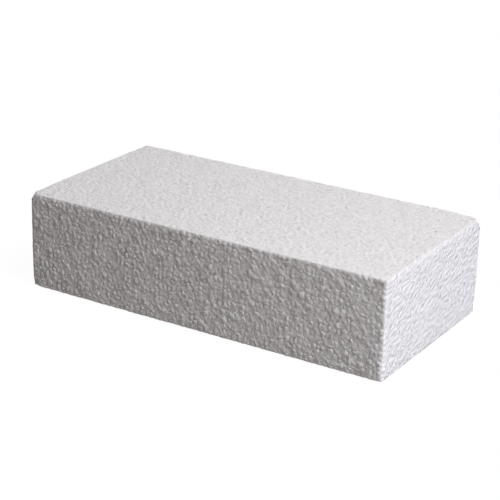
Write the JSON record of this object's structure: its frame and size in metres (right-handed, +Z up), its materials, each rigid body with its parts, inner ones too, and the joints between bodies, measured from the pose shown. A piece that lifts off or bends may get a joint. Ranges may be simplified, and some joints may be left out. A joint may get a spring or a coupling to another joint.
{
  "type": "foam block",
  "caption": "Rectangular block of white expanded polystyrene bead foam with slightly rounded edges, lying on its largest face.",
  "frame": {"origin": "middle of the underside, where the block rests", "axes": "+X along the length, +Y across the width towards the back, +Z up through the height"},
  "size_m": [0.2, 0.1, 0.05],
  "materials": {
    "foam": "matt white bead foam, with the outline of each bead showing"
  },
  "bodies": {
    "root": {"foam_block": "foam"}
  },
  "joints": []
}
